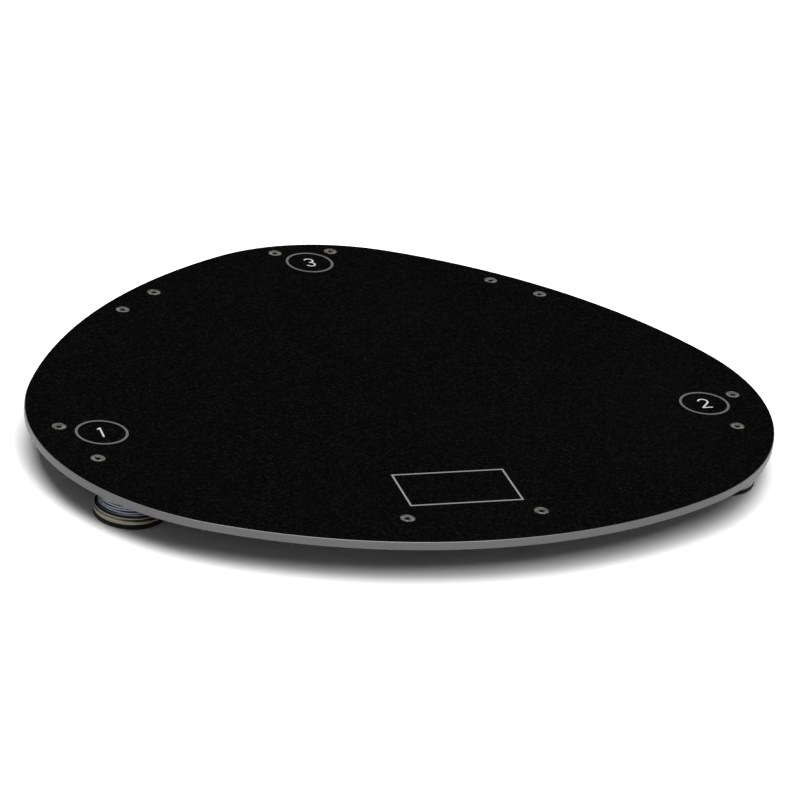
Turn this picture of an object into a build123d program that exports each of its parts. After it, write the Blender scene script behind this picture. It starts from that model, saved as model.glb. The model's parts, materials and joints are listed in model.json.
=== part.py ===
from build123d import *
import math
import os

# Vibration isolation platform: a flat deck with a grit surface on six sprung feet.
# +X points to the user's right, +Y to the deck's narrow rear, +Z up.
# The origin is on the floor, under the centre of the deck's bounding box.

# Deck outline: arcs that run into each other without a corner, mirrored about X = 0
deck_width = 1070.0
deck_depth = 962.0
front_radius = 755.0
corner_radius = 344.0
side_radius = 807.0
rear_radius = 291.0

# Heights, from the deck's surface down to the floor
overall_height = 62.0
print_depth = 0.1
sheet_thickness = 0.8
plate_thickness = 12.0
carrier_thickness = 6.0
seat_thickness = 3.0
pad_thickness = 6.0
travel = 7.0

# Deck details
rim_chamfer = 0.6
sheet_setback = 1.0

# Deck screws: M10 countersunk, with a hexagon socket
screw_radius = 5.0
screw_head_radius = 10.0
screw_length = 17.5
socket_across_flats = 6.0
socket_depth = 3.6
screw_hole_gap = 0.5
screw_seat_gap = 0.3
thread_gap = 0.15

# Printed marks
ring_radius = 36.5
ring_line = 3.6
numeral_height = 26.0
numeral_width = 14.0
numeral_line = 2.6
label_width = 160.0
label_depth = 91.0
label_line = 2.8
label_inset = 149.5
print_gap = 0.05

# Places on the corner and side arcs: share of the arc, and distance in from the edge
corner_foot = (0.3525, 67.0)
corner_screws = ((0.720, 40.0), (0.485, 53.0))
corner_ring = (0.651, 92.0)
side_foot = (0.603, 78.0)
side_screws = ((0.679, 30.0), (0.5275, 30.0))

# Places on the centreline: distance in from the edge, and half the screws' spacing
rear_foot_inset = 85.0
rear_screw_inset = 28.9
rear_screw_half_spacing = 44.3
rear_ring_inset = 68.5
front_foot_inset = 163.0
front_screw_inset = 72.1
front_screw_half_spacing = 93.5

# Foot: cup, pad, bush, spring, guide bolt and stops
spring_radius = 44.0
wire_width = 8.0
wire_thickness = 3.0
coil_gap = 1.2
cup_wall = 3.0
cup_rim_width = 4.3
cup_height = 11.0
cup_lip_radius = 1.8
cup_side_gap = 1.2
hat_side_gap = 2.5
pad_overhang = 0.5
pad_edge_radius = 2.4
pad_bore_gap = 1.0
spigot_depth = 5.0
spigot_wall = 3.0
guide_radius = 6.0
guide_head_radius = 12.0
bush_wall = 3.0
bush_flange_radius = 13.0
bush_flange_thickness = 1.5
washer_radius = 13.0
washer_thickness = 2.0
nut_thickness = 6.0
nut_across_flats = 18.0
stop_radius = 20.0
stop_waist = 3.0
ear_radius = 16.0
carrier_margin = 3.0
running_gap = 0.05
fitting_gap = 0.3
spring_side_gap = 1.5
floor_gap = 1.7

# Levels that follow from the values above
print_bottom = overall_height - print_depth
plate_top = overall_height - sheet_thickness
plate_bottom = plate_top - plate_thickness
carrier_bottom = plate_bottom - carrier_thickness
seat_bottom = carrier_bottom - seat_thickness
cup_floor = pad_thickness + cup_wall
nut_bottom = floor_gap + travel
washer_bottom = nut_bottom + nut_thickness
washer_top = washer_bottom + washer_thickness
hat_underside = washer_top + fitting_gap
hat_top = hat_underside + cup_wall
bush_top = hat_top + bush_flange_thickness
stop_bottom = bush_top + travel + fitting_gap
screw_hole_radius = screw_radius + screw_hole_gap
screw_seat_radius = screw_head_radius + screw_seat_gap
spring_bore = spring_radius - wire_width
hat_radius = spring_bore - hat_side_gap
cup_bore = spring_radius + cup_side_gap
cup_radius = cup_bore + cup_rim_width
pad_radius = cup_radius + pad_overhang


def polar(centre, radius, angle):
    """Point at a radius and an angle in degrees round a centre."""
    turn = math.radians(angle)
    return Vector(centre.X + radius * math.cos(turn), centre.Y + radius * math.sin(turn))


def heading(vector):
    """Angle of a vector in the XY plane, in degrees."""
    return math.degrees(math.atan2(vector.Y, vector.X))


# Arc centres: each arc touches its neighbours from the inside
front_centre = Vector(0, front_radius - deck_depth / 2)
rear_centre = Vector(0, deck_depth / 2 - rear_radius)
corner_x = deck_width / 2 - corner_radius
corner_drop = math.sqrt((front_radius - corner_radius) ** 2 - corner_x**2)
corner_centre = Vector(corner_x, front_centre.Y - corner_drop)
to_rear = rear_centre - corner_centre
reach = side_radius - corner_radius
along = (reach**2 - (side_radius - rear_radius) ** 2 + to_rear.length**2) / (2 * to_rear.length)
across = math.sqrt(reach**2 - along**2)
inward = to_rear.normalized().rotate(Axis.Z, 90)
side_centre = corner_centre + to_rear.normalized() * along + inward * across

# Angles at which one arc hands over to the next
corner_start = heading(corner_centre - front_centre)
corner_end = heading(corner_centre - side_centre)
side_end = heading(rear_centre - side_centre)


def corner_spot(share, inset):
    """Point inside the right-hand corner arc."""
    return polar(corner_centre, corner_radius - inset, corner_start + share * (corner_end - corner_start))


def side_spot(share, inset):
    """Point inside the right-hand side arc."""
    return polar(side_centre, side_radius - inset, corner_end + share * (side_end - corner_end))


def flip(spot):
    """Mirror image of a point on the left-hand side."""
    return Vector(-spot.X, spot.Y)


rear_screw_y = deck_depth / 2 - rear_screw_inset
front_screw_y = front_screw_inset - deck_depth / 2
right_corner_screws = [corner_spot(*place) for place in corner_screws]
right_side_screws = [side_spot(*place) for place in side_screws]

# Each station: where its foot stands, and the two deck screws that hold its carrier
stations = {
    "front_right": (corner_spot(*corner_foot), right_corner_screws),
    "front_left": (flip(corner_spot(*corner_foot)), [flip(spot) for spot in right_corner_screws]),
    "side_right": (side_spot(*side_foot), right_side_screws),
    "side_left": (flip(side_spot(*side_foot)), [flip(spot) for spot in right_side_screws]),
    "rear": (
        Vector(0, deck_depth / 2 - rear_foot_inset),
        [Vector(rear_screw_half_spacing, rear_screw_y), Vector(-rear_screw_half_spacing, rear_screw_y)],
    ),
    "front_centre": (
        Vector(0, front_foot_inset - deck_depth / 2),
        [Vector(front_screw_half_spacing, front_screw_y), Vector(-front_screw_half_spacing, front_screw_y)],
    ),
}
screw_spots = [spot for foot, screws in stations.values() for spot in screws]
ring_spots = [
    flip(corner_spot(*corner_ring)),
    corner_spot(*corner_ring),
    Vector(0, deck_depth / 2 - rear_ring_inset),
]


def raised(spots, height):
    """The same points at a given height."""
    return [(spot.X, spot.Y, height) for spot in spots]


def save(part, name):
    """Label a finished piece and write its file."""
    part.label = name
    export_step(part, f"parts/{name}.step")


def deck_profile(height, inset):
    """Deck outline as a face, drawn in from the edge by the inset."""
    with BuildSketch(Plane.XY.offset(height)) as profile:
        with BuildLine():
            CenterArc(front_centre, front_radius - inset, -90, corner_start + 90)
            CenterArc(corner_centre, corner_radius - inset, corner_start, corner_end - corner_start)
            CenterArc(side_centre, side_radius - inset, corner_end, side_end - corner_end)
            CenterArc(rear_centre, rear_radius - inset, side_end, 90 - side_end)
            mirror(about=Plane.YZ)
        make_face()
    return profile.sketch


def make_deck_plate():
    with BuildPart() as plate:
        extrude(deck_profile(plate_bottom, 0), amount=plate_thickness)
        rims = plate.faces().sort_by(Axis.Z)
        chamfer(rims[0].edges() + rims[-1].edges(), rim_chamfer)
        with Locations(*raised(screw_spots, plate_top)):
            CounterSinkHole(screw_hole_radius, screw_seat_radius, plate_thickness, 90)
    return plate.part


def draw_rings(gap):
    """Position rings, wider on each side by the gap."""
    with Locations(*[(spot.X, spot.Y) for spot in ring_spots]):
        Circle(ring_radius + gap)
        Circle(ring_radius - ring_line - gap, mode=Mode.SUBTRACT)


def draw_label(gap):
    """Border of the label's place, wider on each side by the gap."""
    both_lines = 2 * (label_line + gap)
    with Locations((0, label_inset - deck_depth / 2)):
        Rectangle(label_width + 2 * gap, label_depth + 2 * gap)
        Rectangle(label_width - both_lines, label_depth - both_lines, mode=Mode.SUBTRACT)


def draw_numeral(number, gap):
    """Round-ended strokes of a plain 1, 2 or 3 about the origin, wider on each side by the gap."""
    half = numeral_height / 2
    bowl = numeral_width / 2
    with BuildLine(mode=Mode.PRIVATE) as strokes:
        if number == 1:
            Polyline((-bowl / 2, half - bowl / 2), (0, half), (0, -half))
        if number == 2:
            top = CenterArc((0, half - bowl), bowl, 160, -200)
            Polyline(top @ 1, (-bowl, -half), (bowl, -half))
        if number == 3:
            lobe = half / 2
            CenterArc((0, lobe), lobe, 150, -240)
            CenterArc((0, -lobe), lobe, 90, -240)
    for stroke in strokes.edges():
        trace(stroke, numeral_line + 2 * gap)
        with Locations(stroke @ 0, stroke @ 1):
            Circle(numeral_line / 2 + gap)


def make_grip_sheet():
    """Grit sheet on the plate, with shallow recesses that the prints fill level."""
    with BuildPart() as sheet:
        extrude(deck_profile(plate_top, sheet_setback), amount=sheet_thickness)
        with Locations(*raised(screw_spots, overall_height)):
            Hole(screw_seat_radius)
        with BuildSketch(Plane.XY.offset(print_bottom)):
            draw_rings(print_gap)
        extrude(amount=print_depth, mode=Mode.SUBTRACT)
        with BuildSketch(Plane.XY.offset(print_bottom)):
            draw_label(print_gap)
        extrude(amount=print_depth, mode=Mode.SUBTRACT)
        for number, spot in enumerate(ring_spots, start=1):
            with BuildSketch(Plane((spot.X, spot.Y, print_bottom))):
                draw_numeral(number, print_gap)
            extrude(amount=print_depth, mode=Mode.SUBTRACT)
    return sheet.part


def make_deck_screws():
    with BuildPart() as screws:
        for x, y, z in raised(screw_spots, plate_top):
            with BuildSketch(Plane(origin=(x, y, 0), x_dir=(1, 0, 0), z_dir=(0, -1, 0))) as half:
                with BuildLine():
                    Polyline(
                        (0, z),
                        (screw_head_radius, z),
                        (screw_radius, z - screw_head_radius + screw_radius),
                        (screw_radius, z - screw_length),
                        (0, z - screw_length),
                        close=True,
                    )
                make_face()
            revolve(axis=Axis((x, y, 0), (0, 0, 1)))
        with BuildSketch(Plane.XY.offset(plate_top)):
            with Locations(*[(spot.X, spot.Y) for spot in screw_spots]):
                RegularPolygon(socket_across_flats / 2, 6, major_radius=False)
        extrude(amount=-socket_depth, mode=Mode.SUBTRACT)
    return screws.part


def make_position_rings():
    with BuildPart() as rings:
        with BuildSketch(Plane.XY.offset(print_bottom)):
            draw_rings(0)
        extrude(amount=print_depth)
    return rings.part


def make_ring_numerals():
    with BuildPart() as numerals:
        for number, spot in enumerate(ring_spots, start=1):
            with BuildSketch(Plane((spot.X, spot.Y, print_bottom))):
                draw_numeral(number, 0)
            extrude(amount=print_depth)
    return numerals.part


def make_label_frame():
    with BuildPart() as frame:
        with BuildSketch(Plane.XY.offset(print_bottom)):
            draw_label(0)
        extrude(amount=print_depth)
    return frame.part


def make_carrier(foot, screws):
    """Steel plate under the deck that carries one foot, tapped for its two deck screws."""
    with BuildPart() as carrier:
        with BuildSketch(Plane.XY.offset(carrier_bottom)):
            with Locations((foot.X, foot.Y)):
                Circle(spring_radius + carrier_margin)
            with Locations(*[(spot.X, spot.Y) for spot in screws]):
                Circle(ear_radius)
            make_hull()
        extrude(amount=carrier_thickness)
        with Locations(*raised(screws, plate_bottom)):
            Hole(screw_radius + thread_gap)
        with Locations((foot.X, foot.Y, plate_bottom)):
            CounterSinkHole(
                guide_radius + fitting_gap, guide_head_radius + fitting_gap, carrier_thickness, 90
            )
    return carrier.part


def ring_of(points, foot):
    """Solid of revolution about a foot's axis, from points of radius and height."""
    with BuildPart() as ring:
        with BuildSketch(Plane(origin=(foot.X, foot.Y, 0), x_dir=(1, 0, 0), z_dir=(0, -1, 0))):
            with BuildLine():
                Polyline(*points, close=True)
            make_face()
        revolve(axis=Axis((foot.X, foot.Y, 0), (0, 0, 1)))
    return ring.part


def make_upper_seat(foot):
    """Pressed dish under the carrier, whose spigot centres the spring."""
    spigot_outer = spring_bore - spring_side_gap
    spigot_inner = spigot_outer - spigot_wall
    bore = guide_radius + fitting_gap
    points = [
        (bore, carrier_bottom),
        (spring_radius, carrier_bottom),
        (spring_radius, seat_bottom),
        (spigot_outer, seat_bottom),
        (spigot_outer, seat_bottom - spigot_depth),
        (spigot_inner, seat_bottom - spigot_depth),
        (spigot_inner, seat_bottom),
        (bore, seat_bottom),
    ]
    return ring_of(points, foot)


def make_guide_bolt(foot):
    """Countersunk bolt through the carrier, on which the foot slides."""
    points = [
        (0, plate_bottom),
        (guide_head_radius, plate_bottom),
        (guide_radius, plate_bottom - guide_head_radius + guide_radius),
        (guide_radius, nut_bottom),
        (0, nut_bottom),
    ]
    return ring_of(points, foot)


def make_bump_stop(foot):
    """Elastic ring that the cup's bush meets at the end of its travel."""
    waist = (seat_bottom + stop_bottom) / 2
    bore = guide_radius + fitting_gap
    points = [
        (bore, seat_bottom),
        (stop_radius, seat_bottom),
        (stop_radius - stop_waist, waist),
        (bush_flange_radius, stop_bottom),
        (bore, stop_bottom),
    ]
    return ring_of(points, foot)


def make_spring(foot):
    """Flat-wire coil between the cup's floor and the upper seat."""
    mean_radius = spring_radius - wire_width / 2
    start = cup_floor + wire_thickness / 2 + fitting_gap
    rise = seat_bottom - wire_thickness / 2 - fitting_gap - start
    with BuildPart() as spring:
        with BuildLine() as coil:
            Helix(wire_thickness + coil_gap, rise, mean_radius, center=(foot.X, foot.Y, start))
        with BuildSketch(Plane(origin=coil.line @ 0, x_dir=(1, 0, 0), z_dir=coil.line % 0)):
            Rectangle(wire_width, wire_thickness)
        sweep(path=coil.line, is_frenet=True)
    return spring.part


def make_cup(foot):
    """Pressed cup with a raised centre that hides the lock nut."""
    bore = guide_radius + running_gap + bush_wall + fitting_gap
    with BuildPart() as cup:
        add(
            ring_of(
                [
                    (bore, hat_top),
                    (hat_radius, hat_top),
                    (hat_radius, cup_floor),
                    (cup_bore, cup_floor),
                    (cup_bore, pad_thickness + cup_height),
                    (cup_radius, pad_thickness + cup_height),
                    (cup_radius, pad_thickness),
                    (hat_radius - cup_wall, pad_thickness),
                    (hat_radius - cup_wall, hat_underside),
                    (bore, hat_underside),
                ],
                foot,
            )
        )
        rim_level = pad_thickness + cup_height
        rim = cup.edges().filter_by_position(Axis.Z, rim_level, rim_level)
        fillet(rim.filter_by(GeomType.CIRCLE), cup_lip_radius)
    return cup.part


def make_bush(foot):
    """Flanged plastic bush in the cup, running on the guide bolt."""
    bore = guide_radius + running_gap
    points = [
        (bore, bush_top),
        (bush_flange_radius, bush_top),
        (bush_flange_radius, hat_top),
        (bore + bush_wall, hat_top),
        (bore + bush_wall, hat_underside),
        (bore, hat_underside),
    ]
    return ring_of(points, foot)


def make_pad(foot):
    """Rubber ring bonded under the cup."""
    with BuildPart() as pad:
        with Locations((foot.X, foot.Y, 0)):
            Cylinder(pad_radius, pad_thickness, align=(Align.CENTER, Align.CENTER, Align.MIN))
            Cylinder(
                hat_radius - cup_wall + pad_bore_gap,
                pad_thickness,
                align=(Align.CENTER, Align.CENTER, Align.MIN),
                mode=Mode.SUBTRACT,
            )
        outer = pad.edges().filter_by(GeomType.CIRCLE).group_by(SortBy.RADIUS)[-1]
        fillet(outer.sort_by(Axis.Z)[0], pad_edge_radius)
    return pad.part


def make_lock_nuts():
    """Thin nut and washer at the lower end of each guide bolt."""
    bore = guide_radius + thread_gap
    with BuildPart() as nuts:
        for foot, screws in stations.values():
            with BuildSketch(Plane.XY.offset(nut_bottom)):
                with Locations((foot.X, foot.Y)):
                    RegularPolygon(nut_across_flats / 2, 6, major_radius=False)
                    Circle(bore, mode=Mode.SUBTRACT)
            extrude(amount=nut_thickness)
            with BuildSketch(Plane.XY.offset(washer_bottom)):
                with Locations((foot.X, foot.Y)):
                    Circle(washer_radius)
                    Circle(bore, mode=Mode.SUBTRACT)
            extrude(amount=washer_thickness)
    return nuts.part


os.makedirs("parts", exist_ok=True)
save(make_deck_plate(), "deck_plate")
save(make_grip_sheet(), "grip_sheet")
save(make_deck_screws(), "deck_screws")
save(make_position_rings(), "position_rings")
save(make_ring_numerals(), "ring_numerals")
save(make_label_frame(), "label_frame")
save(make_lock_nuts(), "lock_nuts")
for station, (foot, screws) in stations.items():
    save(make_carrier(foot, screws), f"{station}_carrier")
    save(make_upper_seat(foot), f"{station}_upper_seat")
    save(make_guide_bolt(foot), f"{station}_guide_bolt")
    save(make_bump_stop(foot), f"{station}_bump_stop")
    save(make_spring(foot), f"{station}_spring")
    save(make_cup(foot), f"{station}_cup")
    save(make_bush(foot), f"{station}_bush")
    save(make_pad(foot), f"{station}_pad")
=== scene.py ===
import json
import math

import bpy
from bpy.props import FloatProperty, FloatVectorProperty, IntProperty, PointerProperty
from bpy.types import Operator, Panel, PropertyGroup
from mathutils import Matrix, Vector


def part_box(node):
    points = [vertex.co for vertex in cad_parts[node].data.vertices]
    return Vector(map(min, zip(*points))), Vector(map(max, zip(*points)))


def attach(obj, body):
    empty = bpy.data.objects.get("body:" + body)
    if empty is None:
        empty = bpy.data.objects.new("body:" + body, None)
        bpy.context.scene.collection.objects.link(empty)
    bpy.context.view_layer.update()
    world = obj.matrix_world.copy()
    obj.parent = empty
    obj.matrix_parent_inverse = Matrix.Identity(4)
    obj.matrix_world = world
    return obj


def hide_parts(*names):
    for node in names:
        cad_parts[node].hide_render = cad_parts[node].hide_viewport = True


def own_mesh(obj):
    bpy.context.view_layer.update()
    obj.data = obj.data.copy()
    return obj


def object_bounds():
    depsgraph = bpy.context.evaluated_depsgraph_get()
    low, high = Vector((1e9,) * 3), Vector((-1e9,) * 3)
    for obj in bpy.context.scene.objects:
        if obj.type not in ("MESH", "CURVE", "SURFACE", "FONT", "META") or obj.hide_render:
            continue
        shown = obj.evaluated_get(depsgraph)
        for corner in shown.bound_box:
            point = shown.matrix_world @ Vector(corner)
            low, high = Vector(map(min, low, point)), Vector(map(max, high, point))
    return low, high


bl_info = {
    "name": "Vibration isolation platform",
    "version": (1, 0, 0),
    "blender": (4, 5, 0),
    "location": "View3D > Sidebar > Platform",
    "description": "Finishes, springs, feet, screws and studio of a vibration isolation platform",
    "category": "Object",
}

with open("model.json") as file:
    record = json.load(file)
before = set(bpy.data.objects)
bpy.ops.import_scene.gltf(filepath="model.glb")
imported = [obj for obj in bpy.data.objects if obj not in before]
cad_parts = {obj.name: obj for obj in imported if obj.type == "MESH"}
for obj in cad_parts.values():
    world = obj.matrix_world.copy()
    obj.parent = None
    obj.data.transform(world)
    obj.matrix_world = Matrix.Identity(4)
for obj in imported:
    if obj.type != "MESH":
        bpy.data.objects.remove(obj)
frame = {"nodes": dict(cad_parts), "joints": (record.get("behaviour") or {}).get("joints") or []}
CAD_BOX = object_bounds()
STATIONS = sorted(joint["name"].removesuffix("_travel") for joint in frame["joints"])
DECK = "deck"
MILLIMETRE = 0.001
PEAKS_PER_METRE = 620.0
GRAINS_PER_METRE = 430.0


# ---------------------------------------------------------------- sizes and colours


class ScrewSizes(PropertyGroup):
    """Countersunk socket screws in the deck."""

    head_radius: FloatProperty(
        name="Head radius", description="Radius of the countersunk head", default=0.010, unit="LENGTH"
    )
    socket_flat: FloatProperty(
        name="Socket flat", description="Half the socket's width across flats", default=0.003, unit="LENGTH"
    )
    socket_depth: FloatProperty(
        name="Socket depth", description="Depth of the hexagon socket", default=0.0036, unit="LENGTH"
    )
    socket_mouth: FloatProperty(
        name="Socket mouth", description="Mouth's radius as a share of the socket flat", default=1.28
    )
    edge: FloatProperty(
        name="Edge", description="Width of the small bevel round the head", default=0.0005, unit="LENGTH"
    )
    turn_step: FloatProperty(
        name="Turn",
        description="Turn between one socket and the next",
        default=math.radians(37),
        unit="ROTATION",
    )
    segments: IntProperty(name="Segments", description="Steps round each head", default=60, min=12)


class SpringSizes(PropertyGroup):
    """Flat-wire wave springs of the feet."""

    wire_width: FloatProperty(
        name="Wire width", description="Radial width of the flat wire", default=0.008, unit="LENGTH"
    )
    wire_thickness: FloatProperty(
        name="Wire thickness", description="Height of the flat wire", default=0.0030, unit="LENGTH"
    )
    turns: FloatProperty(name="Turns", description="Turns between cup and seat", default=7.0, min=3)
    waves: FloatProperty(name="Waves", description="Waves in each turn", default=3.5)
    crest_gap: FloatProperty(
        name="Crest gap", description="Gap where a crest meets the next turn", default=0.0001, unit="LENGTH"
    )
    bevel: FloatProperty(
        name="Bevel", description="Rounding of the wire's four edges", default=0.0005, unit="LENGTH"
    )
    steps: IntProperty(name="Steps", description="Steps in each turn", default=112, min=24)
    travel: FloatProperty(
        name="Travel", description="How far the foot rises at its stop", default=0.007, unit="LENGTH"
    )


class CupSizes(PropertyGroup):
    """Plated cups that stand on the rubber pads."""

    wall: FloatProperty(name="Wall", description="Thickness of the pressing", default=0.003, unit="LENGTH")
    rim_width: FloatProperty(
        name="Rim width", description="Thickness of the cup's outer wall", default=0.0043, unit="LENGTH"
    )
    rim_height: FloatProperty(
        name="Rim height", description="Height of the cup's outer wall", default=0.011, unit="LENGTH"
    )
    hat_radius: FloatProperty(
        name="Hat radius", description="Radius of the raised centre", default=0.0335, unit="LENGTH"
    )
    bore_radius: FloatProperty(
        name="Bore radius", description="Radius of the hole for the bush", default=0.00935, unit="LENGTH"
    )
    waist_depth: FloatProperty(
        name="Waist depth", description="Depth of the rolled waist in the wall", default=0.0011, unit="LENGTH"
    )
    segments: IntProperty(name="Segments", description="Steps round each cup", default=160, min=24)


class PadSizes(PropertyGroup):
    """Moulded rubber pads."""

    bore_radius: FloatProperty(
        name="Bore radius", description="Radius of the pad's centre hole", default=0.0315, unit="LENGTH"
    )
    edge: FloatProperty(
        name="Edge", description="Rounding of the lower outside edge", default=0.0024, unit="LENGTH"
    )
    corner_radius: FloatProperty(
        name="Corner radius", description="Rounding of the moulded corners", default=0.0004, unit="LENGTH"
    )
    grooves: IntProperty(name="Grooves", description="Rings moulded into the sole", default=4, min=0)
    groove_depth: FloatProperty(
        name="Groove depth", description="Depth of each ring in the sole", default=0.0012, unit="LENGTH"
    )
    segments: IntProperty(name="Segments", description="Steps round each pad", default=160, min=24)


class FinishColours(PropertyGroup):
    """Colours of the finishes, linear."""

    grit: FloatVectorProperty(
        name="Grit",
        description="Black resin and grains of the deck",
        default=(0.00115, 0.00115, 0.0012),
        subtype="COLOR",
    )
    edge: FloatVectorProperty(
        name="Deck edge", description="Anodised aluminium", default=(0.107, 0.107, 0.109), subtype="COLOR"
    )
    ring_print: FloatVectorProperty(
        name="Ring print",
        description="Grey print of the rings",
        default=(0.056, 0.057, 0.059),
        subtype="COLOR",
    )
    numeral_print: FloatVectorProperty(
        name="Numeral print",
        description="Pale print of the numerals",
        default=(0.34, 0.34, 0.35),
        subtype="COLOR",
    )
    label_print: FloatVectorProperty(
        name="Label print",
        description="Grey print of the label's border",
        default=(0.135, 0.136, 0.14),
        subtype="COLOR",
    )
    screw: FloatVectorProperty(
        name="Screws", description="Stainless steel", default=(0.086, 0.081, 0.071), subtype="COLOR"
    )
    zinc: FloatVectorProperty(
        name="Zinc", description="Blue-white zinc plating", default=(0.125, 0.138, 0.162), subtype="COLOR"
    )
    plating: FloatVectorProperty(
        name="Cup plating", description="Warm bright plating", default=(0.17, 0.162, 0.128), subtype="COLOR"
    )
    powder: FloatVectorProperty(
        name="Powder coat",
        description="Black coat of the carriers",
        default=(0.016, 0.016, 0.018),
        subtype="COLOR",
    )
    rubber: FloatVectorProperty(
        name="Rubber", description="Moulded black rubber", default=(0.0045, 0.0045, 0.0045), subtype="COLOR"
    )
    urethane: FloatVectorProperty(
        name="Urethane", description="Cast bump stops", default=(0.05, 0.045, 0.04), subtype="COLOR"
    )
    acetal: FloatVectorProperty(
        name="Acetal", description="Plastic guide bushes", default=(0.72, 0.70, 0.64), subtype="COLOR"
    )
    floor: FloatVectorProperty(
        name="Floor", description="Plain pale floor", default=(0.90, 0.90, 0.90), subtype="COLOR"
    )


class StudioSettings(PropertyGroup):
    """Camera and lights."""

    focal_length: FloatProperty(name="Lens", description="Focal length in millimetres", default=154.7)
    distance: FloatProperty(
        name="Distance", description="Camera to the point it looks at", default=4.841, unit="LENGTH"
    )
    azimuth: FloatProperty(
        name="Azimuth",
        description="Camera's turn round the deck",
        default=math.radians(-19.47),
        unit="ROTATION",
    )
    elevation: FloatProperty(
        name="Elevation", description="Camera's height angle", default=math.radians(25.56), unit="ROTATION"
    )
    roll: FloatProperty(
        name="Roll",
        description="Camera's turn about its own axis",
        default=math.radians(6.02),
        unit="ROTATION",
    )
    aim_ahead: FloatProperty(
        name="Aim",
        description="How far in front of the centre the camera looks",
        default=0.0653,
        unit="LENGTH",
    )
    top_light: FloatProperty(name="Top light", description="Watts of the light above", default=400.0)
    top_place: FloatVectorProperty(
        name="Top place",
        description="Where the light above hangs",
        default=(-0.3, 0.15, 4.6),
        subtype="TRANSLATION",
    )
    top_size: FloatProperty(
        name="Top size", description="Side of the square light above", default=4.6, unit="LENGTH"
    )
    front_light: FloatProperty(name="Front light", description="Watts of the light in front", default=60.0)
    front_place: FloatVectorProperty(
        name="Front place",
        description="Where the light in front stands",
        default=(0.3, -2.3, 2.9),
        subtype="TRANSLATION",
    )
    front_size: FloatProperty(
        name="Front size", description="Side of the square light in front", default=1.6, unit="LENGTH"
    )
    ambient: FloatProperty(name="Ambient", description="Brightness of the room", default=0.12)
    floor_radius: FloatProperty(
        name="Floor radius", description="Radius of the round floor", default=2.3, unit="LENGTH"
    )


# ---------------------------------------------------------------- shader building


class Signal:
    """An output socket that can be used in arithmetic."""

    def __init__(self, finish, socket):
        self.finish = finish
        self.socket = socket

    def maths(self, operation, *values):
        return self.finish.node("ShaderNodeMath", {"operation": operation}, dict(enumerate(values)))

    def __add__(self, other):
        return self.maths("ADD", self, other)

    def __radd__(self, other):
        return self.maths("ADD", other, self)

    def __sub__(self, other):
        return self.maths("SUBTRACT", self, other)

    def __rsub__(self, other):
        return self.maths("SUBTRACT", other, self)

    def __mul__(self, other):
        return self.maths("MULTIPLY", self, other)

    def __rmul__(self, other):
        return self.maths("MULTIPLY", other, self)

    def sine(self):
        return self.maths("SINE", self)

    def between(self, low, high):
        """0 below low, 1 above high, and smooth in between."""
        values = {"Value": self, "From Min": low, "From Max": high}
        return self.finish.node("ShaderNodeMapRange", {"interpolation_type": "SMOOTHSTEP"}, values)


class Finish:
    """A material built round one Principled shader."""

    def __init__(self, name, colour, metallic=0.0, roughness=0.5, specular=0.5):
        self.material = bpy.data.materials.new(name)
        self.material.use_nodes = True
        self.tree = self.material.node_tree
        self.shader = self.tree.nodes["Principled BSDF"]
        self.shader.inputs["Base Color"].default_value = (*colour, 1.0)
        self.shader.inputs["Metallic"].default_value = metallic
        self.shader.inputs["Roughness"].default_value = roughness
        self.shader.inputs["Specular IOR Level"].default_value = specular

    def node(self, kind, settings=None, values=None, output=0):
        made = self.tree.nodes.new(kind)
        for key, value in (settings or {}).items():
            setattr(made, key, value)
        for key, value in (values or {}).items():
            self.connect(made.inputs[key], value)
        return Signal(self, made.outputs[output])

    def connect(self, socket, value):
        if isinstance(value, Signal):
            self.tree.links.new(value.socket, socket)
        else:
            socket.default_value = value

    def place(self, stretch=(1.0, 1.0, 1.0)):
        """Position on the object in metres, stretched along each axis."""
        position = self.node("ShaderNodeTexCoord", output="Object")
        return self.node("ShaderNodeMapping", values={"Vector": position, "Scale": stretch})

    def height(self):
        """Height above the floor in metres."""
        position = self.node("ShaderNodeTexCoord", output="Object")
        return self.node("ShaderNodeSeparateXYZ", values={"Vector": position}, output="Z")

    def noise(self, scale, detail=3.0, rough=0.5, stretch=(1.0, 1.0, 1.0)):
        values = {"Vector": self.place(stretch), "Scale": scale, "Detail": detail, "Roughness": rough}
        return self.node("ShaderNodeTexNoise", values=values)

    def cells(self, scale, output="Distance"):
        values = {"Vector": self.place(), "Scale": scale}
        return self.node("ShaderNodeTexVoronoi", values=values, output=output)

    def attribute(self, name):
        return self.node("ShaderNodeAttribute", {"attribute_name": name}, output="Fac")

    def mix(self, factor, first, second):
        """Colour between first and second."""
        colours = [value if isinstance(value, Signal) else (*value, 1.0) for value in (first, second)]
        values = {0: factor, 6: colours[0], 7: colours[1]}
        return self.node("ShaderNodeMix", {"data_type": "RGBA"}, values, output=2)

    def feed(self, name, value):
        self.connect(self.shader.inputs[name], value)

    def bump(self, height, distance, strength=1.0):
        values = {"Strength": strength, "Distance": distance, "Height": height}
        self.feed("Normal", self.node("ShaderNodeBump", values=values, output="Normal"))


def shade(colour, factor):
    """A colour made lighter or darker."""
    return tuple(min(1.0, part * factor) for part in colour)


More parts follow.
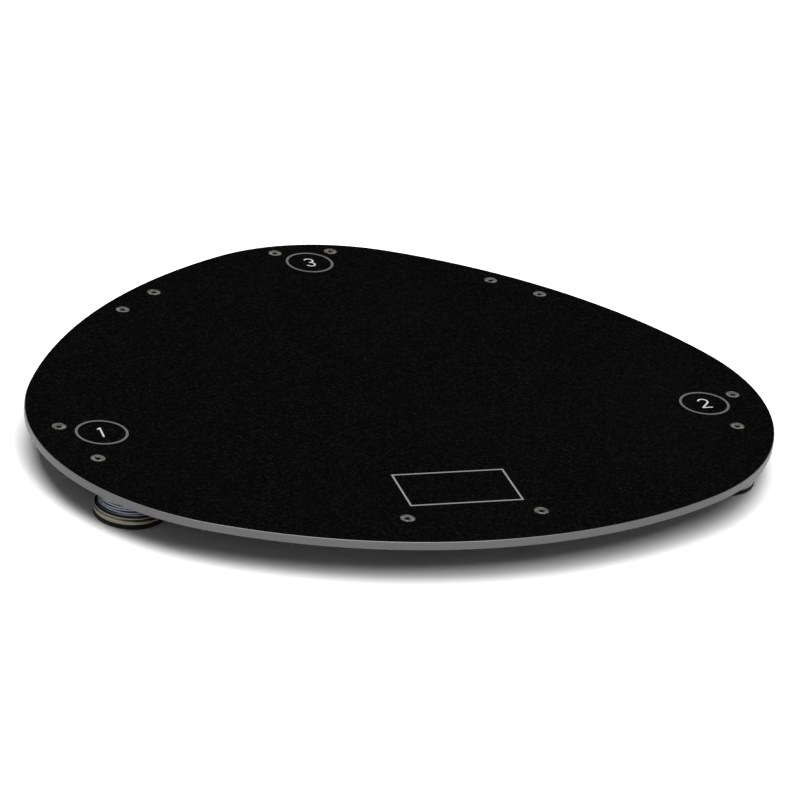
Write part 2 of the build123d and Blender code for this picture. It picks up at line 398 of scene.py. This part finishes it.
def grit_finish(colours):
    """Mineral grains in black resin, with faint foot traffic."""
    finish = Finish("grit_black", colours.grit, roughness=0.95, specular=0.004)
    peaks = finish.cells(PEAKS_PER_METRE)
    clumps = finish.noise(95.0, detail=2.0)
    traffic = finish.noise(4.0, detail=4.0, rough=0.6).between(0.48, 0.78)
    tone = finish.node("ShaderNodeSeparateColor", values={"Color": finish.cells(GRAINS_PER_METRE, "Color")})
    # painted glints: the brightest grains are lightened in colour to stand in for glints
    painted_glints = tone.between(0.84, 1.0)
    dark = finish.mix(tone, shade(colours.grit, 0.25), shade(colours.grit, 1.9))
    dusty = finish.mix(traffic * 0.25, dark, shade(colours.grit, 1.9))
    finish.feed("Base Color", finish.mix(painted_glints * 0.6, dusty, shade(colours.grit, 4.2)))
    finish.feed("Roughness", 0.98 - painted_glints * 0.25 - traffic * 0.04)
    finish.bump(peaks * -1.0 + clumps * 0.5, 0.6 * MILLIMETRE, 0.9)
    return finish.material


def edge_finish(colours):
    """Sawn and anodised aluminium: fine lines along the edge, cloudy sheen."""
    finish = Finish("anodised_aluminium", colours.edge, metallic=1.0, roughness=0.45)
    lines = finish.noise(700.0, detail=2.0, stretch=(0.02, 0.02, 1.0))
    cloud = finish.noise(14.0, detail=4.0)
    nicks = finish.noise(420.0, detail=1.0).between(0.72, 0.80)
    base = finish.mix(cloud, shade(colours.edge, 0.88), shade(colours.edge, 1.12))
    finish.feed("Base Color", finish.mix(nicks * 0.3, base, shade(colours.edge, 1.4)))
    finish.feed("Roughness", 0.38 + lines * 0.14 + cloud * 0.10)
    finish.bump(lines - nicks * 0.5, 0.12 * MILLIMETRE, 0.5)
    return finish.material


def print_finish(name, colour):
    """Screen print that follows the grit under it."""
    finish = Finish(name, colour, roughness=0.7, specular=0.2)
    peaks = finish.cells(PEAKS_PER_METRE)
    worn = finish.noise(330.0, detail=3.0, rough=0.7).between(0.60, 0.74)
    finish.feed("Base Color", finish.mix(worn * 0.75, colour, shade(colour, 0.22)))
    finish.feed("Roughness", 0.62 + worn * 0.25)
    finish.bump(peaks * -1.0, 0.4 * MILLIMETRE, 0.7)
    return finish.material


def screw_finish(colours):
    """Turned stainless heads, with painted shade in the socket and patchy smears that also act as painted
    glints.
    """
    finish = Finish("turned_stainless", colours.screw, metallic=1.0, roughness=0.35)
    tool_pitch = 0.42 * MILLIMETRE
    socket_edge = (3.4 * MILLIMETRE, 5.4 * MILLIMETRE)
    radius = finish.attribute("ring_radius")
    rings = (radius * (2 * math.pi / tool_pitch)).sine()
    # patchy smears on the steel, brightened far enough to also act as painted glints
    smear_and_glint = finish.noise(300.0, detail=3.0).between(0.36, 0.66)
    # painted shade: the socket and its mouth are darkened where the recess falls into shadow
    painted_socket_shade = 1.0 - radius.between(*socket_edge)
    base = finish.mix(smear_and_glint, shade(colours.screw, 0.35), shade(colours.screw, 2.1))
    finish.feed("Base Color", finish.mix(painted_socket_shade * 0.85, base, shade(colours.screw, 0.10)))
    finish.feed("Roughness", 0.42 - smear_and_glint * 0.22 + painted_socket_shade * 0.20)
    finish.bump(rings * 0.5 + smear_and_glint, 0.06 * MILLIMETRE, 0.6)
    return finish.material


def zinc_finish(name, colour):
    """Bright zinc with drawing lines and faint cloudy patches."""
    finish = Finish(name, colour, metallic=1.0, roughness=0.3)
    lines = finish.noise(900.0, detail=2.0, stretch=(0.05, 0.05, 1.0))
    patches = finish.noise(45.0, detail=4.0, rough=0.6)
    stain = finish.noise(130.0, detail=3.0).between(0.58, 0.75)
    base = finish.mix(patches, shade(colour, 0.80), shade(colour, 1.18))
    finish.feed("Base Color", finish.mix(stain * 0.5, base, shade(colour, 0.55)))
    finish.feed("Roughness", 0.30 + patches * 0.14 + stain * 0.20 + lines * 0.06)
    finish.bump(lines, 0.06 * MILLIMETRE, 0.5)
    return finish.material


def cup_finish(colours):
    """Warm bright plating with spinning rings and handling marks."""
    finish = Finish("cup_plating", colours.plating, metallic=1.0, roughness=0.18)
    rings = finish.noise(1400.0, detail=1.0, stretch=(0.01, 0.01, 1.0))
    marks = finish.noise(60.0, detail=4.0, rough=0.65).between(0.50, 0.72)
    # darker and rougher towards the bottom of the cup
    lower_band = (6.0 * MILLIMETRE, 10.0 * MILLIMETRE)
    low = 1.0 - finish.height().between(*lower_band)
    base = finish.mix(marks * 0.6, colours.plating, shade(colours.plating, 0.62))
    finish.feed("Base Color", finish.mix(low * 0.5, base, shade(colours.plating, 0.45)))
    finish.feed("Roughness", 0.12 + marks * 0.18 + rings * 0.06 + low * 0.12)
    finish.bump(rings, 0.02 * MILLIMETRE, 0.3)
    return finish.material


def powder_finish(colours):
    """Powder coat with orange peel."""
    finish = Finish("powder_coat", colours.powder, roughness=0.5, specular=0.4)
    peel = finish.noise(380.0, detail=2.0)
    speck = finish.noise(1500.0, detail=0.0).between(0.62, 0.72)
    finish.feed("Base Color", finish.mix(speck * 0.3, colours.powder, shade(colours.powder, 2.6)))
    finish.feed("Roughness", 0.42 + peel * 0.22)
    finish.bump(peel, 0.25 * MILLIMETRE, 0.5)
    return finish.material


def rubber_finish(name, colour, dust_top):
    """Moulded rubber: fine grain, and dust that gathers low down."""
    finish = Finish(name, colour, roughness=0.8, specular=0.15)
    grain = finish.noise(1100.0, detail=2.0)
    bloom = finish.noise(55.0, detail=4.0, rough=0.6)
    dust = (1.0 - finish.height().between(0.0, dust_top)) * bloom
    finish.feed("Base Color", finish.mix(dust * 0.45, colour, shade(colour, 6.0)))
    finish.feed("Roughness", 0.70 + bloom * 0.2)
    finish.bump(grain, 0.12 * MILLIMETRE, 0.6)
    return finish.material


def plastic_finish(name, colour):
    """Natural moulded plastic."""
    finish = Finish(name, colour, roughness=0.45)
    flow = finish.noise(70.0, detail=3.0)
    grain = finish.noise(900.0, detail=1.0)
    finish.feed("Base Color", finish.mix(flow, shade(colour, 0.86), shade(colour, 1.05)))
    finish.feed("Roughness", 0.36 + flow * 0.16)
    finish.bump(grain, 0.06 * MILLIMETRE, 0.4)
    return finish.material


def floor_finish(colours):
    """Matt pale floor with hardly any texture."""
    finish = Finish("studio_floor", colours.floor, roughness=0.9, specular=0.1)
    cloud = finish.noise(1.5, detail=2.0)
    finish.feed("Base Color", finish.mix(cloud, shade(colours.floor, 0.985), colours.floor))
    finish.feed("Roughness", 0.88 + cloud * 0.06)
    return finish.material


# ---------------------------------------------------------------- mesh building


def soften(points, radius, steps=3):
    """Closed outline whose corners are rounded by up to the radius."""
    rounded = []
    for index, corner in enumerate(points):
        corner = Vector(corner)
        before = Vector(points[index - 1]) - corner
        after = Vector(points[(index + 1) % len(points)]) - corner
        reach_in = min(radius, before.length * 0.45)
        reach_out = min(radius, after.length * 0.45)
        start = corner + before.normalized() * reach_in
        end = corner + after.normalized() * reach_out
        for step in range(steps + 1):
            share = step / steps
            near = start.lerp(corner, share)
            rounded.append(near.lerp(corner.lerp(end, share), share))
    return rounded


def skin(name, rings, material, loop_rings=False, caps=False, radii=None, sharp_angle=40.0):
    """Mesh object from rings that all have the same number of points."""
    count = len(rings[0])
    points = [tuple(point) for ring in rings for point in ring]
    faces = []
    last = len(rings) if loop_rings else len(rings) - 1
    for row in range(last):
        upper = (row + 1) % len(rings)
        for step in range(count):
            following = (step + 1) % count
            faces.append(
                (
                    row * count + step,
                    row * count + following,
                    upper * count + following,
                    upper * count + step,
                )
            )
    if caps:
        faces.append(tuple(reversed(range(count))))
        faces.append(tuple(range((len(rings) - 1) * count, len(rings) * count)))
    mesh = bpy.data.meshes.new(name)
    mesh.from_pydata(points, [], faces)
    if radii:
        layer = mesh.attributes.new("ring_radius", "FLOAT", "POINT")
        layer.data.foreach_set("value", radii)
    mesh.validate()
    mesh.polygons.foreach_set("use_smooth", [True] * len(mesh.polygons))
    mesh.set_sharp_from_angle(angle=math.radians(sharp_angle))
    mesh.materials.append(material)
    made = bpy.data.objects.new(name, mesh)
    bpy.context.scene.collection.objects.link(made)
    return made


def lathe(name, outline, centre, segments, material):
    """Outline of radius and height turned about an upright axis through the centre."""
    rings = []
    for step in range(segments):
        turn = 2 * math.pi * step / segments
        ring = [
            (centre.x + radius * math.cos(turn), centre.y + radius * math.sin(turn), height)
            for radius, height in outline
        ]
        rings.append(ring)
    return skin(name, rings, material, loop_rings=True)


def hexagon_radius(flat, turn):
    """Distance from the centre to a hexagon's side, at an angle."""
    sector = math.pi / 3
    return flat / math.cos(turn % sector - sector / 2)


def middle(node):
    """Centre of a node's box."""
    low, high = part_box(node)
    return (low + high) / 2


def islands(node):
    """Separate solids of a node, each as its lowest and highest corner."""
    mesh = frame["nodes"][node].data
    owner = list(range(len(mesh.vertices)))

    def root(index):
        while owner[index] != index:
            owner[index] = owner[owner[index]]
            index = owner[index]
        return index

    merged = {}
    for vertex in mesh.vertices:
        key = tuple(round(part / (0.01 * MILLIMETRE)) for part in vertex.co)
        owner[vertex.index] = root(merged.setdefault(key, vertex.index))
    for edge in mesh.edges:
        owner[root(edge.vertices[0])] = root(edge.vertices[1])
    groups = {}
    for vertex in mesh.vertices:
        groups.setdefault(root(vertex.index), []).append(vertex.co)
    return [
        (
            Vector([min(point[axis] for point in points) for axis in range(3)]),
            Vector([max(point[axis] for point in points) for axis in range(3)]),
        )
        for points in groups.values()
    ]


def dress(nodes, material):
    """Give CAD nodes a finish."""
    for node in nodes:
        mesh = frame["nodes"][node].data
        mesh.materials.clear()
        mesh.materials.append(material)


# ---------------------------------------------------------------- pieces


class PLATFORM_OT_deck(Operator):
    """Finish the deck plate and its grit sheet"""

    bl_idname = "platform.deck"
    bl_label = "Deck"

    def execute(self, context):
        colours = context.scene.platform_colours
        dress(["deck_plate"], edge_finish(colours))
        dress(["grip_sheet"], grit_finish(colours))
        return {"FINISHED"}


class PLATFORM_OT_marks(Operator):
    """Finish the printed rings, numerals and label border"""

    bl_idname = "platform.marks"
    bl_label = "Printed marks"

    def execute(self, context):
        colours = context.scene.platform_colours
        dress(["position_rings"], print_finish("ring_print", colours.ring_print))
        dress(["ring_numerals"], print_finish("numeral_print", colours.numeral_print))
        dress(["label_frame"], print_finish("label_print", colours.label_print))
        return {"FINISHED"}


class PLATFORM_OT_screws(Operator):
    """Make the countersunk socket screws"""

    bl_idname = "platform.screws"
    bl_label = "Deck screws"

    def execute(self, context):
        sizes = context.scene.platform_screws
        material = screw_finish(context.scene.platform_colours)
        turns = [2 * math.pi * step / sizes.segments for step in range(sizes.segments)]
        heads = sorted(islands("deck_screws"), key=lambda box: tuple(box[0]))
        for number, (low, high) in enumerate(heads, 1):
            centre = (low + high) / 2
            shank = sizes.head_radius / 2
            mouth = sizes.socket_flat * sizes.socket_mouth
            floor = high.z - sizes.socket_depth
            rounds = [
                (lambda turn: shank, low.z),
                (lambda turn: shank, high.z - sizes.head_radius + shank),
                (lambda turn: sizes.head_radius, high.z - sizes.edge * 0.8),
                (lambda turn: sizes.head_radius - sizes.edge, high.z),
                (lambda turn: (sizes.head_radius + mouth) / 2, high.z),
                (lambda turn: mouth, high.z),
                (lambda turn: hexagon_radius(sizes.socket_flat, turn), high.z - sizes.edge),
                (lambda turn: hexagon_radius(sizes.socket_flat, turn), floor),
                (lambda turn: sizes.socket_flat * 0.5, floor - sizes.edge),
            ]
            spin = number * sizes.turn_step
            rings = [
                [
                    (
                        centre.x + radius(turn) * math.cos(turn + spin),
                        centre.y + radius(turn) * math.sin(turn + spin),
                        height,
                    )
                    for turn in turns
                ]
                for radius, height in rounds
            ]
            radii = [radius(turn) for radius, height in rounds for turn in turns]
            name = f"deck_screw_{number:02d}"
            screw = skin(name, rings, material, caps=True, radii=radii, sharp_angle=30.0)
            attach(screw, DECK)
            if number == 1:
                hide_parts("deck_screws")
        return {"FINISHED"}


class PLATFORM_OT_carriers(Operator):
    """Finish the carriers, spring seats, guide bolts, bump stops and nuts"""

    bl_idname = "platform.carriers"
    bl_label = "Carriers and guides"

    def execute(self, context):
        colours = context.scene.platform_colours
        bright = zinc_finish("bolt_zinc", shade(colours.zinc, 1.1))
        dress([f"{station}_carrier" for station in STATIONS], powder_finish(colours))
        dress([f"{station}_upper_seat" for station in STATIONS], zinc_finish("seat_zinc", colours.zinc))
        dress([f"{station}_guide_bolt" for station in STATIONS] + ["lock_nuts"], bright)
        dust_top = 30.0 * MILLIMETRE
        urethane = rubber_finish("cast_urethane", colours.urethane, dust_top)
        dress([f"{station}_bump_stop" for station in STATIONS], urethane)
        dress([f"{station}_bush" for station in STATIONS], plastic_finish("acetal", colours.acetal))
        return {"FINISHED"}


class PLATFORM_OT_springs(Operator):
    """Make the wave springs"""

    bl_idname = "platform.springs"
    bl_label = "Wave springs"

    def execute(self, context):
        sizes = context.scene.platform_springs
        material = zinc_finish("spring_zinc", context.scene.platform_colours.zinc)
        for station in STATIONS:
            low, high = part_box(f"{station}_spring")
            centre = middle(f"{station}_spring")
            outer = (high.x - low.x) / 2
            mean = outer - sizes.wire_width / 2
            bottom = low.z + sizes.wire_thickness / 2
            rise = high.z - low.z - sizes.wire_thickness
            pitch = rise / sizes.turns
            swing = (pitch - sizes.wire_thickness - sizes.crest_gap) / 2
            half_width = sizes.wire_width / 2
            half_height = sizes.wire_thickness / 2
            corners = [(-1, 1), (1, 1), (1, -1), (-1, -1)]
            section = soften(
                [(side * half_width, up * half_height) for side, up in corners], sizes.bevel, steps=2
            )
            total = round(sizes.turns * sizes.steps)
            rings = []
            for step in range(total + 1):
                turn = 2 * math.pi * step / sizes.steps
                turns_from_end = min(step, total - step) / sizes.steps
                fade = min(1.0, turns_from_end)
                level = bottom + rise * step / total
                level += swing * fade * math.cos(sizes.waves * turn)
                rings.append(
                    [
                        (
                            centre.x + (mean + across) * math.cos(turn),
                            centre.y + (mean + across) * math.sin(turn),
                            level + up,
                        )
                        for across, up in section
                    ]
                )
            spring = skin(f"{station}_wave_spring", rings, material, caps=True, sharp_angle=50.0)
            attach(spring, DECK)
            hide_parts(f"{station}_spring")
            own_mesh(spring)
        return {"FINISHED"}


class PLATFORM_OT_cups(Operator):
    """Make the plated cups"""

    bl_idname = "platform.cups"
    bl_label = "Cups"

    def execute(self, context):
        sizes = context.scene.platform_cups
        material = cup_finish(context.scene.platform_colours)
        for station in STATIONS:
            low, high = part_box(f"{station}_cup")
            outer = (high.x - low.x) / 2
            rim = low.z + sizes.rim_height
            floor = low.z + sizes.wall
            waist = outer - sizes.waist_depth
            upper_bead = rim - 0.24 * sizes.rim_height
            upper_waist = rim - 0.36 * sizes.rim_height
            lower_waist = low.z + 0.34 * sizes.rim_height
            lower_bead = low.z + 0.22 * sizes.rim_height
            outline = [
                (sizes.bore_radius, high.z),
                (sizes.hat_radius, high.z),
                (sizes.hat_radius, floor),
                (outer - sizes.rim_width, floor),
                (outer - sizes.rim_width, rim),
                (outer, rim),
                (outer, upper_bead),
                (waist, upper_waist),
                (waist, lower_waist),
                (outer, lower_bead),
                (outer, low.z),
                (sizes.hat_radius - sizes.wall, low.z),
                (sizes.hat_radius - sizes.wall, high.z - sizes.wall),
                (sizes.bore_radius, high.z - sizes.wall),
            ]
            rounded = soften(outline, 0.45 * sizes.wall, steps=4)
            centre = middle(f"{station}_cup")
            cup = lathe(f"{station}_pressed_cup", rounded, centre, sizes.segments, material)
            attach(cup, f"{station}_foot")
            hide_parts(f"{station}_cup")
        return {"FINISHED"}


class PLATFORM_OT_pads(Operator):
    """Make the moulded rubber pads"""

    bl_idname = "platform.pads"
    bl_label = "Rubber pads"

    def execute(self, context):
        sizes = context.scene.platform_pads
        dust_top = 6.0 * MILLIMETRE
        material = rubber_finish("moulded_rubber", context.scene.platform_colours.rubber, dust_top)
        for station in STATIONS:
            low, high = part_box(f"{station}_pad")
            outer = (high.x - low.x) / 2
            land = (outer - sizes.edge - sizes.bore_radius) / (2 * sizes.grooves + 1)
            bulge = 0.29 * sizes.edge
            outline = [
                (sizes.bore_radius, high.z),
                (sizes.bore_radius, low.z),
            ]
            for groove in range(sizes.grooves):
                start = sizes.bore_radius + land * (2 * groove + 1)
                outline += [
                    (start, low.z),
                    (start, low.z + sizes.groove_depth),
                    (start + land, low.z + sizes.groove_depth),
                    (start + land, low.z),
                ]
            outline += [
                (outer - sizes.edge, low.z),
                (outer - bulge, low.z + bulge),
                (outer, low.z + sizes.edge),
                (outer, high.z),
            ]
            rounded = soften(list(reversed(outline)), sizes.corner_radius)
            centre = middle(f"{station}_pad")
            pad = lathe(f"{station}_moulded_pad", rounded, centre, sizes.segments, material)
            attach(pad, f"{station}_foot")
            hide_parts(f"{station}_pad")
        return {"FINISHED"}


class PLATFORM_OT_studio(Operator):
    """Set up the floor, the lights and the camera"""

    bl_idname = "platform.studio"
    bl_label = "Studio"

    def execute(self, context):
        scene = context.scene
        settings = scene.platform_studio
        self.make_floor(scene)
        self.make_room(scene, settings)
        self.make_lights(settings)
        self.make_camera(scene, settings)
        return {"FINISHED"}

    def make_floor(self, scene):
        """Round floor, level with the pads."""
        radius = scene.platform_studio.floor_radius
        turns = [2 * math.pi * step / 96 for step in range(96)]
        rim = [(radius * math.cos(turn), radius * math.sin(turn), 0.0) for turn in turns]
        mesh = bpy.data.meshes.new("studio_floor")
        mesh.from_pydata(rim, [], [tuple(range(len(rim)))])
        mesh.materials.append(floor_finish(scene.platform_colours))
        floor = bpy.data.objects.new("studio_floor", mesh)
        scene.collection.objects.link(floor)

    def make_room(self, scene, settings):
        """Pale to the camera and in reflections, and dim as a source of light."""
        world = bpy.data.worlds.new("studio_room")
        world.use_nodes = True
        tree = world.node_tree
        background = tree.nodes["Background"]
        background.inputs["Color"].default_value = (1.0, 1.0, 1.0, 1.0)
        background.inputs["Strength"].default_value = settings.ambient
        backdrop = tree.nodes.new("ShaderNodeBackground")
        backdrop.inputs["Color"].default_value = (1.0, 1.0, 1.0, 1.0)
        path = tree.nodes.new("ShaderNodeLightPath")
        seen = tree.nodes.new("ShaderNodeMath")
        seen.operation = "MAXIMUM"
        tree.links.new(path.outputs["Is Camera Ray"], seen.inputs[0])
        tree.links.new(path.outputs["Is Glossy Ray"], seen.inputs[1])
        chooser = tree.nodes.new("ShaderNodeMixShader")
        tree.links.new(seen.outputs[0], chooser.inputs[0])
        tree.links.new(background.outputs[0], chooser.inputs[1])
        tree.links.new(backdrop.outputs[0], chooser.inputs[2])
        tree.links.new(chooser.outputs[0], tree.nodes["World Output"].inputs[0])
        scene.world = world
        scene.view_settings.view_transform = "Standard"

    def make_lights(self, settings):
        """A broad light straight above, and a smaller one in front that points at the deck."""
        top = Vector(settings.top_place)
        below = Vector((top.x, top.y, 0.0))
        self.softbox("top_softbox", top, below, settings.top_size, settings.top_light)
        front = Vector(settings.front_place)
        self.softbox("front_softbox", front, Vector(), settings.front_size, settings.front_light)

    def softbox(self, name, place, target, size, watts):
        lamp = bpy.data.lights.new(name, "AREA")
        lamp.size = size
        lamp.energy = watts
        made = bpy.data.objects.new(name, lamp)
        aim = target - place
        made.matrix_world = Matrix.Translation(place) @ aim.to_track_quat("-Z", "Y").to_matrix().to_4x4()
        bpy.context.scene.collection.objects.link(made)

    def make_camera(self, scene, settings):
        """Camera aimed just in front of the deck's centre, with a slight roll."""
        target = Vector((0.0, -settings.aim_ahead, CAD_BOX[1].z))
        level = math.cos(settings.elevation)
        outward = Vector(
            (
                math.sin(settings.azimuth) * level,
                -math.cos(settings.azimuth) * level,
                math.sin(settings.elevation),
            )
        )
        lens = bpy.data.cameras.new("studio_camera")
        lens.sensor_width = 36.0
        lens.lens = settings.focal_length
        lens.clip_end = 200.0
        made = bpy.data.objects.new("studio_camera", lens)
        turned = (-outward).to_track_quat("-Z", "Y").to_matrix().to_4x4()
        roll = Matrix.Rotation(settings.roll, 4, "Z")
        made.matrix_world = Matrix.Translation(target + outward * settings.distance) @ turned @ roll
        scene.collection.objects.link(made)
        scene.camera = made


class PLATFORM_PT_sidebar(Panel):
    """Buttons that make each group of pieces"""

    bl_idname = "PLATFORM_PT_sidebar"
    bl_label = "Isolation platform"
    bl_space_type = "VIEW_3D"
    bl_region_type = "UI"
    bl_category = "Platform"

    def draw(self, context):
        for operator in PIECES:
            self.layout.operator(operator.bl_idname)


GROUPS = {
    "platform_screws": ScrewSizes,
    "platform_springs": SpringSizes,
    "platform_cups": CupSizes,
    "platform_pads": PadSizes,
    "platform_colours": FinishColours,
    "platform_studio": StudioSettings,
}
PIECES = (
    PLATFORM_OT_deck,
    PLATFORM_OT_marks,
    PLATFORM_OT_screws,
    PLATFORM_OT_carriers,
    PLATFORM_OT_springs,
    PLATFORM_OT_cups,
    PLATFORM_OT_pads,
    PLATFORM_OT_studio,
)


def register():
    for group in GROUPS.values():
        bpy.utils.register_class(group)
    for name, group in GROUPS.items():
        setattr(bpy.types.Scene, name, PointerProperty(type=group))
    for operator in (*PIECES, PLATFORM_PT_sidebar):
        bpy.utils.register_class(operator)


def unregister():
    for operator in (PLATFORM_PT_sidebar, *reversed(PIECES)):
        bpy.utils.unregister_class(operator)
    for name in GROUPS:
        delattr(bpy.types.Scene, name)
    for group in reversed(GROUPS.values()):
        bpy.utils.unregister_class(group)


def main():
    """Make every piece."""
    register()
    bpy.ops.platform.deck()
    bpy.ops.platform.marks()
    bpy.ops.platform.screws()
    bpy.ops.platform.carriers()
    bpy.ops.platform.springs()
    bpy.ops.platform.cups()
    bpy.ops.platform.pads()
    bpy.ops.platform.studio()


if __name__ == "__main__":
    main()
